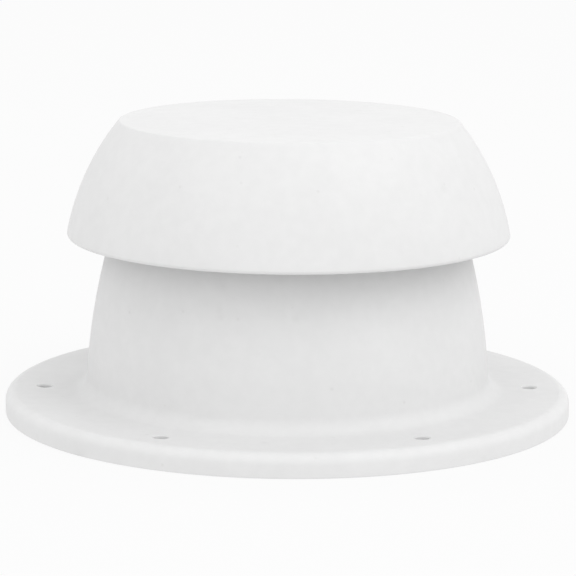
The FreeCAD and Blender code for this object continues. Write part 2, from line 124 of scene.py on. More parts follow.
def closeMesh(piece, gap=0.002):
    # closes the seam and the poles, drops slivers and turns every face outward
    work = bmesh.new()
    work.from_mesh(piece.data)
    bmesh.ops.remove_doubles(work, verts=work.verts, dist=gap * mm)
    bmesh.ops.dissolve_degenerate(work, edges=work.edges, dist=gap / 2 * mm)
    bmesh.ops.recalc_face_normals(work, faces=work.faces)
    work.to_mesh(piece.data)
    work.free()


def combine(piece, operation, *tools):
    # cuts the tools out of a solid or melts them into it, and uses them up
    for tool in tools:
        change = piece.modifiers.new(tool.name, "BOOLEAN")
        change.operation = operation
        change.solver = "MANIFOLD"
        change.object = tool
        keepResult(piece)
        bpy.data.objects.remove(tool)


def shadeByAngle(piece, crease=32):
    piece.data.shade_smooth()
    piece.data.set_sharp_from_angle(angle=radians(crease))


def softEdges(piece, width, crease=32):
    # a small real edge radius on a plain solid
    bevel = piece.modifiers.new("Edge radius", "BEVEL")
    bevel.width = width * mm
    bevel.segments = 2
    bevel.limit_method = "ANGLE"
    bevel.angle_limit = radians(crease)
    keepResult(piece)
    shadeByAngle(piece, crease)


def settle(piece, body, slot, *standsFor):
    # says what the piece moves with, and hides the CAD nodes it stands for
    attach(piece, body)
    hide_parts(*standsFor)


# materials: what each thing is made of and how its surface was made

noiseLow, noiseHigh = 0.3, 0.7  # nearly all of a noise pattern lies between these


def newFinish(name):
    finish = bpy.data.materials.new(name)
    finish.use_nodes = True
    tree = finish.node_tree
    tree.nodes.clear()
    return finish, tree, addNode(tree, "ShaderNodeTexCoord").outputs["Object"]


mouldedAbs = {
    "name": "White ABS, injection moulded, fine spark texture",
    "color": "#DFDFDF",
    "shade": "#DCDCDC",  # where the plastic flowed and cooled a little differently
    "dirt": "#B0AFAC",
    "roughness": 0.62,
    "ior": 1.53,
    "grain": 0.9,  # real spark texture is 0.1 to 0.3 mm, drawn coarser so that it shows
    "grainDepth": 0.022,
    "peel": 4.5,  # faint orange peel from the mould
    "peelDepth": 0.06,
    "flow": 30.0,  # slow clouds where the plastic ran
    "sinkDepth": 0.008,
    "sheenChange": 0.04,
    "cloudLow": 0.75, "cloudHigh": 1.25,  # two noise patterns added, so around 1
    "spotCore": 0.2,  # share of a spot that is at full strength
    "spots": (
        # cell and size in millimetres, share of cells, depth of the dent, strength of the dirt
        (6.5, 0.9, 0.35, 0.04, 0.14),
        (13.0, 2.2, 0.30, 0.02, 0.07),
        (15.0, 0.45, 0.05, 0.02, 0.55),
    ),
}


def makeAbs(given):
    # satin white: a broad soft highlight, faint cloudy flow marks, small dents and stray specks
    finish, tree, place = newFinish(given["name"])
    flow = addNode(tree, "ShaderNodeTexNoise", {
        "Vector": place, "Scale": 1 / (given["flow"] * mm), "Detail": 3.0})
    peel = addNode(tree, "ShaderNodeTexNoise", {
        "Vector": place, "Scale": 1 / (given["peel"] * mm), "Detail": 2.0})
    cloud = addNode(tree, "ShaderNodeMath", {0: flow, 1: peel}, operation="ADD")
    evenCloud = addNode(tree, "ShaderNodeMapRange", {
        "Value": cloud, "From Min": given["cloudLow"], "From Max": given["cloudHigh"]})
    color = addNode(tree, "ShaderNodeMix", {0: evenCloud, 6: given["color"], 7: given["shade"]},
                    data_type="RGBA")
    sheen = addNode(tree, "ShaderNodeMapRange", {
        "Value": flow, "From Min": noiseLow, "From Max": noiseHigh,
        "To Min": given["roughness"] - given["sheenChange"],
        "To Max": given["roughness"] + given["sheenChange"]})
    relief = addNode(tree, "ShaderNodeBump", {"Height": flow, "Distance": given["sinkDepth"] * mm})
    relief = addNode(tree, "ShaderNodeBump", {
        "Height": peel, "Distance": given["peelDepth"] * mm, "Normal": relief})
    grain = addNode(tree, "ShaderNodeTexNoise", {
        "Vector": place, "Scale": 1 / (given["grain"] * mm), "Detail": 3.0})
    relief = addNode(tree, "ShaderNodeBump", {
        "Height": grain, "Distance": given["grainDepth"] * mm, "Normal": relief})
    for cell, size, share, depth, dirt in given["spots"]:
        cells = addNode(tree, "ShaderNodeTexVoronoi", {"Vector": place, "Scale": 1 / (cell * mm)})
        spot = addNode(tree, "ShaderNodeMapRange", {
            "Value": cells, "From Min": given["spotCore"] * size / cell, "From Max": size / cell,
            "To Min": 1.0, "To Max": 0.0}, interpolation_type="SMOOTHSTEP")
        chance = addNode(tree, "ShaderNodeSeparateColor", {"Color": cells.outputs["Color"]})
        chosen = addNode(tree, "ShaderNodeMath", {0: chance.outputs["Red"], 1: share}, operation="LESS_THAN")
        marks = addNode(tree, "ShaderNodeMath", {0: spot, 1: chosen}, operation="MULTIPLY")
        stain = addNode(tree, "ShaderNodeMath", {0: marks, 1: dirt}, operation="MULTIPLY")
        color = addNode(tree, "ShaderNodeMix", {0: stain, 6: color, 7: given["dirt"]}, data_type="RGBA")
        relief = addNode(tree, "ShaderNodeBump", {
            "Height": marks, "Distance": depth * mm, "Normal": relief}, invert=True)
    shader = addNode(tree, "ShaderNodeBsdfPrincipled", {
        "Base Color": color, "Roughness": sheen, "IOR": given["ior"], "Normal": relief})
    addNode(tree, "ShaderNodeOutputMaterial", {"Surface": shader})
    return finish


whiteAbs = makeAbs(mouldedAbs)

mouldedPlastics = {
    # nylon with short glass: duller than the shell, with fine pale streaks of fibre
    "nylon": {"name": "White glass-filled nylon, moulded", "color": "#DFDEDA", "shade": "#D9D8D3",
              "roughness": 0.55, "grain": 0.6, "depth": 0.015, "patch": 9.0, "ior": 1.53},
    # acetal: slightly creamier and slicker, with the same spark texture as the shell
    "acetal": {"name": "White acetal, moulded knob", "color": "#E0DFDC", "shade": "#DAD9D5",
               "roughness": 0.40, "grain": 0.8, "depth": 0.012, "patch": 12.0, "ior": 1.48},
    # natural nylon: waxy and a little yellow, with faint punching marks
    "washer": {"name": "Natural nylon, punched washer", "color": "#D8D0B8", "shade": "#CBC2A6",
               "roughness": 0.42, "grain": 0.5, "depth": 0.006, "patch": 3.0, "ior": 1.53},
    # solid rubber: deep grey with a dusty bloom where it was handled
    "rubber": {"name": "Black EPDM rubber, moulded seal", "color": "#1C1C1D", "shade": "#2E2E2E",
               "roughness": 0.62, "grain": 0.5, "depth": 0.02, "patch": 6.0, "ior": 1.50},
}


def makePlastic(given):
    finish, tree, place = newFinish(given["name"])
    patch = addNode(tree, "ShaderNodeTexNoise", {
        "Vector": place, "Scale": 1 / (given["patch"] * mm), "Detail": 3.0})
    grain = addNode(tree, "ShaderNodeTexNoise", {
        "Vector": place, "Scale": 1 / (given["grain"] * mm), "Detail": 3.0})
    evenPatch = addNode(tree, "ShaderNodeMapRange", {
        "Value": patch, "From Min": noiseLow, "From Max": noiseHigh})
    shade = addNode(tree, "ShaderNodeMix", {0: evenPatch, 6: given["color"], 7: given["shade"]},
                    data_type="RGBA")
    sheen = addNode(tree, "ShaderNodeMapRange", {
        "Value": patch, "From Min": noiseLow, "From Max": noiseHigh,
        "To Min": given["roughness"] - 0.06, "To Max": given["roughness"] + 0.06})
    relief = addNode(tree, "ShaderNodeBump", {"Height": grain, "Distance": given["depth"] * mm})
    shader = addNode(tree, "ShaderNodeBsdfPrincipled", {
        "Base Color": shade, "Roughness": sheen, "IOR": given["ior"], "Normal": relief})
    addNode(tree, "ShaderNodeOutputMaterial", {"Surface": shader})
    return finish


whiteNylon, whiteAcetal, washerNylon, sealRubber = [
    makePlastic(mouldedPlastics[key]) for key in ("nylon", "acetal", "washer", "rubber")]

dieCutFoam = {
    "name": "Black EPDM foam, closed cell, die cut",
    "color": "#262627",
    "pore": "#161617",
    "cell": 0.9,  # real cells are 0.3 to 0.8 mm, drawn a little coarser
    "depth": 0.2,
    "roughness": 0.92,
    "ior": 1.45,
}


def makeFoam(given):
    # cut open cells: matt, with a crust of small dark pits
    finish, tree, place = newFinish(given["name"])
    cells = addNode(tree, "ShaderNodeTexVoronoi", {"Vector": place, "Scale": 1 / (given["cell"] * mm)})
    shade = addNode(tree, "ShaderNodeMix", {0: cells, 6: given["pore"], 7: given["color"]}, data_type="RGBA")
    pits = addNode(tree, "ShaderNodeBump", {"Height": cells, "Distance": given["depth"] * mm})
    shader = addNode(tree, "ShaderNodeBsdfPrincipled", {
        "Base Color": shade, "Roughness": given["roughness"], "IOR": given["ior"], "Normal": pits})
    addNode(tree, "ShaderNodeOutputMaterial", {"Surface": shader})
    return finish


blackFoam = makeFoam(dieCutFoam)

metals = {
    # cold headed and passivated: bright, with soft tool marks
    "screw": {"name": "A2 stainless screw, cold headed", "color": "#C6C6C3", "dull": "#ADADA9",
              "roughness": 0.30, "feed": 0.0, "grain": 0.5, "depth": 0.01},
    # turned on a lathe: fine rings that stretch the highlight
    "turned": {"name": "A2 stainless, turned", "color": "#C2C2BF", "dull": "#A8A8A5",
               "roughness": 0.26, "feed": 0.35, "grain": 0.7, "depth": 0.006},
    "brass": {"name": "Turned brass", "color": "#D2AE64", "dull": "#AB8746",
              "roughness": 0.28, "feed": 0.4, "grain": 2.0, "depth": 0.006},
    # stamped and phosphated: dark grey, nearly matt
    "spring": {"name": "Spring steel, stamped and phosphated", "color": "#62615E", "dull": "#4B4A47",
               "roughness": 0.5, "feed": 0.0, "grain": 0.4, "depth": 0.01},
    # centreless ground: nearly a mirror, with a faint grey haze
    "ground": {"name": "A2 stainless pin, ground", "color": "#CACAC8", "dull": "#B6B6B3",
               "roughness": 0.2, "feed": 0.25, "grain": 1.5, "depth": 0.002},
    # drawn wire: smooth along its length, duller in patches
    "wire": {"name": "Drawn stainless wire, woven", "color": "#B8B8B5", "dull": "#929290",
             "roughness": 0.34, "feed": 0.0, "grain": 1.0, "depth": 0.003},
}


patchPerGrain = 6  # dull patches are this much larger than the grain
waveRepeat = 0.314  # a wave pattern at scale 1 repeats at this distance


def makeMetal(given):
    finish, tree, place = newFinish(given["name"])
    grain = addNode(tree, "ShaderNodeTexNoise", {
        "Vector": place, "Scale": 1 / (given["grain"] * mm), "Detail": 3.0})
    patch = addNode(tree, "ShaderNodeTexNoise", {
        "Vector": place, "Scale": 1 / (given["grain"] * patchPerGrain * mm)})
    evenPatch = addNode(tree, "ShaderNodeMapRange", {
        "Value": patch, "From Min": noiseLow, "From Max": noiseHigh})
    stain = addNode(tree, "ShaderNodeMix", {0: evenPatch, 6: given["color"], 7: given["dull"]},
                    data_type="RGBA")
    sheen = addNode(tree, "ShaderNodeMapRange", {
        "Value": grain, "From Min": noiseLow, "From Max": noiseHigh,
        "To Min": given["roughness"] - 0.06, "To Max": given["roughness"] + 0.1})
    relief = addNode(tree, "ShaderNodeBump", {"Height": grain, "Distance": given["depth"] * mm})
    if given["feed"]:
        # tool feed per turn, a little coarser than real: rings on the ends and bands on the sides
        for pattern in ({"wave_type": "RINGS", "rings_direction": "Z"},
                        {"wave_type": "BANDS", "bands_direction": "Z"}):
            marks = addNode(tree, "ShaderNodeTexWave", {
                "Vector": place, "Scale": waveRepeat / (given["feed"] * mm), "Distortion": 0.2}, **pattern)
            relief = addNode(tree, "ShaderNodeBump", {
                "Height": marks.outputs["Fac"], "Distance": given["depth"] * mm, "Normal": relief})
    shader = addNode(tree, "ShaderNodeBsdfPrincipled", {
        "Base Color": stain, "Metallic": 1.0, "Roughness": sheen, "Normal": relief})
    addNode(tree, "ShaderNodeOutputMaterial", {"Surface": shader})
    return finish


screwSteel, turnedSteel, turnedBrass, springSteel, groundSteel, wireSteel = [
    makeMetal(metals[key]) for key in ("screw", "turned", "brass", "spring", "ground", "wire")]
print("materials made")


# turned shapes: an outline with rounded corners, swept once round the vent's axis

def latheTree():
    tree, given = newTree("Lathe", {"Segments": "Int", "Corner Steps": "Int", "Weld": "Float"})
    outline = addNode(tree, "GeometryNodeMeshToCurve", {"Mesh": given["Geometry"]})
    radius = addNode(tree, "GeometryNodeInputNamedAttribute", {"Name": "cornerRadius"})
    rounded = addNode(tree, "GeometryNodeFilletCurve", {
        "Curve": outline, "Count": given["Corner Steps"], "Radius": radius, "Limit Radius": True},
        mode="POLY")
    # the outline is drawn one path radius inside its place, so a 1 mm circle sweeps it
    way = addNode(tree, "GeometryNodeCurvePrimitiveCircle", {"Resolution": given["Segments"], "Radius": mm})
    swept = addNode(tree, "GeometryNodeCurveToMesh", {"Curve": way, "Profile Curve": rounded})
    merged = addNode(tree, "GeometryNodeMergeByDistance", {"Geometry": swept, "Distance": given["Weld"]})
    closeTree(tree, given, merged)
    return tree


lathe = latheTree()


def turnPiece(name, outline, finish, closed=True, segments=96, steps=6):
    # outline is a list of (radius, height) or (radius, height, corner rounding); an open one
    # starts and ends on the axis
    count = len(outline)
    edges = [(i, i + 1) for i in range(count - 1)] + ([(count - 1, 0)] if closed else [])
    piece = newPiece(name, [(p[0] - 1, -p[1], 0) for p in outline], edges)
    rounding = piece.data.attributes.new("cornerRadius", "FLOAT", "POINT")
    rounding.data.foreach_set("value", [(p[2] if len(p) > 2 else 0) * mm for p in outline])
    runTree(piece, lathe, finish, Segments=segments, CornerSteps=steps, Weld=weldGap * mm)
    closeMesh(piece)
    shadeByAngle(piece)
    return piece


def ringTree():
    # copies of a shape at even angles round a circle, each turned outward and then by chance
    tree, given = newTree("Ring Array", {
        "Count": "Int", "First Angle": "Float", "Circle Radius": "Float", "Height": "Float",
        "Scatter": "Float", "Seed": "Int"})
    spots = addNode(tree, "GeometryNodeMeshLine", {"Count": given["Count"], "Offset": (0, 0, 0)})
    step = addNode(tree, "ShaderNodeMath", {0: 2 * pi, 1: given["Count"]}, operation="DIVIDE")
    index = addNode(tree, "GeometryNodeInputIndex")
    angle = addNode(tree, "ShaderNodeMath", {0: index, 1: step, 2: given["First Angle"]},
                    operation="MULTIPLY_ADD")
    reach = addNode(tree, "ShaderNodeCombineXYZ", {"X": given["Circle Radius"], "Z": given["Height"]})
    corner = addNode(tree, "ShaderNodeVectorRotate", {"Vector": reach, "Angle": angle},
                     rotation_type="Z_AXIS")
    placed = addNode(tree, "GeometryNodeSetPosition", {"Geometry": spots, "Position": corner})
    chance = addNode(tree, "FunctionNodeRandomValue", {3: given["Scatter"], "Seed": given["Seed"]},
                     data_type="FLOAT")
    turned = addNode(tree, "ShaderNodeMath", {0: angle, 1: chance}, operation="ADD")
    turn = addNode(tree, "ShaderNodeCombineXYZ", {"Z": turned})
    copies = addNode(tree, "GeometryNodeInstanceOnPoints", {
        "Points": placed, "Instance": given["Geometry"], "Rotation": turn})
    closeTree(tree, given, copies)
    return tree


ringArray = ringTree()


def copiesRound(piece, finish, count, circle, firstAngle=0.0, height=0.0, scatter=0.0, seed=0):
    return runTree(piece, ringArray, finish, Count=count, FirstAngle=radians(firstAngle),
                   CircleRadius=circle * mm, Height=height * mm, Scatter=scatter, Seed=seed)


# deck flange with its bell neck

shell = {
    "flangeRadius": 105.0, "rimHeight": 8.5, "edgeRound": 4.2, "dish": 0.6,
    "footRound": 0.5, "crownRound": 9.0, "dishShares": (0.72, 0.5, 0.25, 0.0, -0.25, -0.45),
    "neckFoot": 75.2, "neckArc": 235.0, "neckHeight": 80.0, "neckFillet": 6.0, "wall": 3.0,
    "neckRows": range(22, 72, 7), "innerRows": (6, 14), "lipShare": 0.49,
    "channelIn": 76.0, "channelOut": 102.0, "channelDepth": 3.0, "channelRound": 0.3, "throatRound": 0.4,
    "holeCircle": 90.5, "holes": 6, "holeRadius": 2.7, "holeBevel": 0.4,
    "spacerRadius": 6.0, "spacerHeight": 3.5, "spacerRound": 0.3, "drillOver": 2,
    "lugs": 4, "lugIn": 62.5, "lugWidth": 11.0, "lugHeight": 18.0, "lugFoot": 26.6,
    "lugSlope": 5, "lugBite": 1.5, "lugEdge": 0.6,  # the bite is how far it sinks into the wall
    "segments": 288,
}


def neckRadius(height, inset=0.0):
    # the bell's side is one arc, and the inset gives its inner face
    return shell["neckFoot"] - shell["neckArc"] + sqrt((shell["neckArc"] - inset) ** 2 - height ** 2)


def baseOutline():
    s = shell
    crown = s["flangeRadius"] - s["edgeRound"]
    toe = neckRadius(s["rimHeight"])
    half = (crown - toe) / 2
    dishArc = (half ** 2 + s["dish"] ** 2) / (2 * s["dish"])
    sag = []
    for share in s["dishShares"]:
        drop = sqrt(dishArc ** 2 - (share * half) ** 2) - (dishArc - s["dish"])
        sag.append(((crown + toe) / 2 + share * half, s["rimHeight"] - drop))
    outer = [(neckRadius(z), z) for z in s["neckRows"]]
    inner = [(neckRadius(z, s["wall"]), z) for z in reversed([*s["innerRows"], *s["neckRows"]])]
    lip = s["wall"] * s["lipShare"]
    return ([(s["flangeRadius"], 0, s["footRound"]), (s["flangeRadius"], s["rimHeight"], s["edgeRound"]),
             (crown, s["rimHeight"], s["crownRound"])] + sag
            + [(toe, s["rimHeight"], s["neckFillet"])] + outer
            + [(neckRadius(s["neckHeight"]), s["neckHeight"], lip),
               (neckRadius(s["neckHeight"], s["wall"]), s["neckHeight"], lip)] + inner
            + [(neckRadius(0, s["wall"]), 0, s["throatRound"]), (s["channelIn"], 0, s["channelRound"]),
               (s["channelIn"], s["channelDepth"]), (s["channelOut"], s["channelDepth"]),
               (s["channelOut"], 0, s["channelRound"])])


def makeLug():
    s = shell
    foot, top, half = s["lugFoot"], s["lugFoot"] + s["lugHeight"], s["lugWidth"] / 2
    side = [(s["lugIn"], foot), (s["lugIn"], top - s["lugSlope"]),
            (neckRadius(top, s["lugBite"]), top), (neckRadius(foot, s["lugBite"]), foot)]
    lug = newPiece("lug", [(x, y, z) for y in (-half, half) for x, z in side], faces=[
        (0, 1, 2, 3), (7, 6, 5, 4), (0, 4, 5, 1), (1, 5, 6, 2), (2, 6, 7, 3), (3, 7, 4, 0)])
    closeMesh(lug)
    softEdges(lug, s["lugEdge"])
    return copiesRound(lug, whiteAbs, s["lugs"], 0.0)


def makeBase():
    s = shell
    base = turnPiece("deckFlangeAndNeck", baseOutline(), whiteAbs, segments=s["segments"], steps=8)
    surface = s["rimHeight"] - s["dish"]
    r, b = s["holeRadius"], s["holeBevel"]
    over = s["drillOver"]
    spacer = turnPiece("spacer", [(0, 0), (s["spacerRadius"], 0, s["spacerRound"]),
                                  (s["spacerRadius"], s["spacerHeight"]), (0, s["spacerHeight"])],
                       whiteAbs, closed=False, segments=40, steps=3)
    drill = turnPiece("drill", [(0, -over), (r, -over), (r, surface - b), (r + 2 * b, surface + b),
                                (r + 2 * b, surface + over), (0, surface + over)],
                      whiteAbs, closed=False, segments=40, steps=1)
    copiesRound(spacer, whiteAbs, s["holes"], s["holeCircle"])
    copiesRound(drill, whiteAbs, s["holes"], s["holeCircle"])
    combine(base, "UNION", spacer, makeLug())
    combine(base, "DIFFERENCE", drill)
    closeMesh(base)
    shadeByAngle(base)
    settle(base, "base", "white_abs", "base_shell")


makeBase()
print("flange and neck made")


# mushroom cap

cap = {
    "rimRadius": 82.1, "rimHeight": 65.7, "sideArc": 92.3, "arcHeight": 50.1, "cornerHeight": 108.5,
    "crown": 0.6, "edgeRound": 1.3, "rimRound": 1.3, "rimInnerRound": 0.9,
    "wall": 3.0, "ceiling": 105.3, "ceilingRound": 2.0,
    "domeRadii": (0, 12, 24, 36, 46, 54), "sideRows": (103, 98, 93, 88, 83, 78, 73, 69),
    "innerRows": range(69, 104, 5), "ceilingRadii": (40, 0),
    "ribs": 8, "ribIn": 14.0, "ribOut": 60.0, "ribDrop": 4.0, "ribWidth": 2.0, "ribRing": 2,
    "bosses": 4, "bossCircle": 42.0, "bossRadius": 5.0, "bossHole": 1.75, "bossFoot": 99.3,
    "bossAngle": 45, "bossHoleRound": 0.2,
    "edge": 0.3, "overlap": 1,  # ribs and bosses reach this far into the wall above
    "segments": 288,
}


def capRadius(height, inset=0.0):
    # the cap's side is one arc too, bulging outward
    c = cap
    centre = c["rimRadius"] - sqrt(c["sideArc"] ** 2 - (c["rimHeight"] - c["arcHeight"]) ** 2)
    return centre + sqrt((c["sideArc"] - inset) ** 2 - (height - c["arcHeight"]) ** 2)


def capOutline(ceiling):
    c = cap
    corner = capRadius(c["cornerHeight"])
    dome = [(r, c["cornerHeight"] + c["crown"] * (1 - (r / corner) ** 2)) for r in c["domeRadii"]]
    side = [(capRadius(z), z) for z in c["sideRows"]]
    rim = [(c["rimRadius"], c["rimHeight"], c["rimRound"]),
           (capRadius(c["rimHeight"], c["wall"]), c["rimHeight"], c["rimInnerRound"])]
    inside = [(capRadius(z, c["wall"]), z) for z in c["innerRows"]]
    return (dome + [(corner, c["cornerHeight"], c["edgeRound"])] + side + rim + inside
            + [(capRadius(ceiling, c["wall"]), ceiling, c["ceilingRound"])]
            + [(r, ceiling) for r in c["ceilingRadii"]])


def makeCap():
    c = cap
    ceiling, edge = c["ceiling"], c["edge"]
    over = ceiling + c["overlap"]
    foot = ceiling - c["ribDrop"]
    halfRib = c["ribWidth"] / 2
    ringOut = c["ribIn"] + c["ribRing"]
    whole = turnPiece("mushroomCap", capOutline(ceiling), whiteAbs, closed=False,
                      segments=c["segments"], steps=8)
    # the ribs start in the middle of the ring that joins them
    corners = [(x, y, z) for x in (c["ribIn"] + c["ribRing"] / 2, c["ribOut"])
               for y in (-halfRib, halfRib) for z in (foot, over)]
    rib = newPiece("rib", corners, faces=[
        (0, 1, 3, 2), (4, 6, 7, 5), (0, 4, 5, 1), (2, 3, 7, 6), (0, 2, 6, 4), (1, 5, 7, 3)])
    closeMesh(rib)
    softEdges(rib, edge)
    copiesRound(rib, whiteAbs, c["ribs"], 0.0, 180 / c["ribs"])
    collar = turnPiece("ribCollar", [(ringOut, foot, edge), (ringOut, over), (c["ribIn"], over),
                                     (c["ribIn"], foot, edge)], whiteAbs, segments=72, steps=3)
    boss = turnPiece("boss", [(c["bossRadius"], c["bossFoot"], edge), (c["bossRadius"], over),
                              (c["bossHole"], over), (c["bossHole"], c["bossFoot"], c["bossHoleRound"])],
                     whiteAbs, segments=40, steps=3)
    copiesRound(boss, whiteAbs, c["bosses"], c["bossCircle"], c["bossAngle"])
    combine(whole, "UNION", rib, collar, boss)
    closeMesh(whole)
    shadeByAngle(whole)
    settle(whole, "cap", "white_abs", "cap_shell")


makeCap()
print("cap made")


# small turned, stamped and moulded parts keep their CAD shape, with real edge radii

carriedOver = {
    # node: (body, slot, finish, edge radius in millimetres)
    "deck_gasket": ("base", "foam_rubber", blackFoam, 0.0),
    "bridge": ("base", "white_nylon", whiteNylon, 0.4),
    "spindle_bush": ("base", "bush_brass", turnedBrass, 0.25),
    "mesh_frame": ("base", "white_nylon", whiteNylon, 0.3),
    "upper_washer": ("spindle_group", "washer_nylon", washerNylon, 0.15),
    "lower_washer": ("spindle_group", "washer_nylon", washerNylon, 0.15),
    "retaining_clip": ("spindle_group", "clip_steel", springSteel, 0.12),
    "stop_clip": ("spindle_group", "clip_steel", springSteel, 0.12),
    "hand_knob": ("spindle_group", "knob_plastic", whiteAcetal, 0.0),
    "knob_washer": ("spindle_group", "screw_steel", screwSteel, 0.12),
    "seal_plate": ("cap", "white_nylon", whiteNylon, 0.3),
    "seal_ring": ("cap", "seal_rubber", sealRubber, 0.5),
    "lift_nut": ("cap", "bush_brass", turnedBrass, 0.3),
    "guide_pins": ("cap", "pin_steel", groundSteel, 0.2),
}


flatAngle = 0.5  # degrees: facets closer to flat than this become one face


def carryOver(node, body, slot, finish, edgeRadius):
    work = bmesh.new()
    work.from_mesh(cadNodes[node].data)
    bmesh.ops.remove_doubles(work, verts=work.verts, dist=weldGap * mm)
    bmesh.ops.dissolve_limit(work, angle_limit=radians(flatAngle), verts=work.verts, edges=work.edges)
    piece = newPiece(node + ".finished")
    work.to_mesh(piece.data)
    work.free()
    piece.data.materials.append(finish)
    if edgeRadius:
        softEdges(piece, edgeRadius)
    else:
        shadeByAngle(piece)
    settle(piece, body, slot, node)


for node, (body, slot, finish, edgeRadius) in carriedOver.items():
    carryOver(node, body, slot, finish, edgeRadius)
print("carried-over parts finished")


# screws: pan heads with a cross recess, heads down

def crossTree():
    # cuts the driver's cross into a head that looks down
    tree, given = newTree("Cross Recess", {
        "Reach": "Float", "Width": "Float", "Depth": "Float", "Head Height": "Float"})
    size = addNode(tree, "ShaderNodeCombineXYZ", {
        "X": given["Reach"], "Y": given["Width"], "Z": given["Depth"]})
    bar = addNode(tree, "GeometryNodeMeshCube", {"Size": size})
    drop = addNode(tree, "ShaderNodeMath", {0: given["Head Height"], 1: -1.0}, operation="MULTIPLY")
    place = addNode(tree, "ShaderNodeCombineXYZ", {"Z": drop})
    first = addNode(tree, "GeometryNodeTransform", {"Geometry": bar, "Translation": place})
    second = addNode(tree, "GeometryNodeTransform", {"Geometry": first, "Rotation": (0, 0, pi / 2)})
    cut = addNode(tree, "GeometryNodeMeshBoolean", {"Mesh 1": given["Geometry"], "Mesh 2": [first, second]},
                  operation="DIFFERENCE", solver="EXACT")
    closeTree(tree, given, cut)
    return tree


crossRecess = crossTree()

screws = {
    # node: head radius, head height, shank radius, count, first angle, body
    "bridge_screws": (3.2, 2.3, 1.95, 4, 0, "base"),
    "frame_screws": (2.4, 1.8, 1.5, 4, 45, "base"),
    "knob_screw": (3.8, 2.0, 2.0, 1, 0, "spindle_group"),
    "seal_plate_screws": (3.3, 2.2, 1.7, 4, 45, "cap"),
    "lift_nut_screws": (2.6, 1.8, 1.5, 3, 30, "cap"),
}


# shares of the head's radius and height, and of the shank's radius at the tip
panHead = {"flat": 0.62, "flatRound": 0.5, "side": 0.98, "sideHeight": 0.3, "seatRound": 0.1, "tip": 0.3,
           "crossReach": 1.15, "crossWidth": 0.24, "crossDepth": 1.2}
firstSeed = 3


def makeScrews(node, headRadius, headHeight, shankRadius, count, firstAngle, body, seed):
    low, high = (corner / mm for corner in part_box(node))
    length = high.z - low.z - headHeight
    p, r, h, thin = panHead, headRadius, headHeight, shankRadius
    wide, sideHeight = p["side"] * r, p["sideHeight"] * h
    outline = [(0, -h), (p["flat"] * r, -h, p["flatRound"] * h), (wide, -sideHeight, sideHeight),
               (wide, 0, p["seatRound"]), (thin, 0), (thin, length - thin), (p["tip"] * thin, length),
               (0, length)]
    screw = turnPiece(node + ".finished", outline, screwSteel, closed=False, segments=32, steps=4)
    runTree(screw, crossRecess, screwSteel, Reach=p["crossReach"] * r * mm, Width=p["crossWidth"] * r * mm,
            Depth=p["crossDepth"] * h * mm, HeadHeight=h * mm)
    # the node's box reaches to the outermost head, which gives the circle they stand on
    circle = 0.0
    if count > 1:
        circle = (high.x - r) / max(cos(radians(firstAngle + k * 360 / count)) for k in range(count))
    copiesRound(screw, screwSteel, count, circle, firstAngle, low.z + headHeight,
                scatter=2 * pi, seed=seed)
    closeMesh(screw)
    shadeByAngle(screw)
    settle(screw, body, "screw_steel", node)


for seed, (node, facts) in enumerate(screws.items()):
    makeScrews(node, *facts, seed=seed + firstSeed)
print("screws made")


# insect mesh: plain weave of round wire

cloth = {"pitch": 2.0, "wire": 0.22, "outer": 62.8, "inner": 14.4, "sides": 4}  # pitch drawn coarser than 1.4


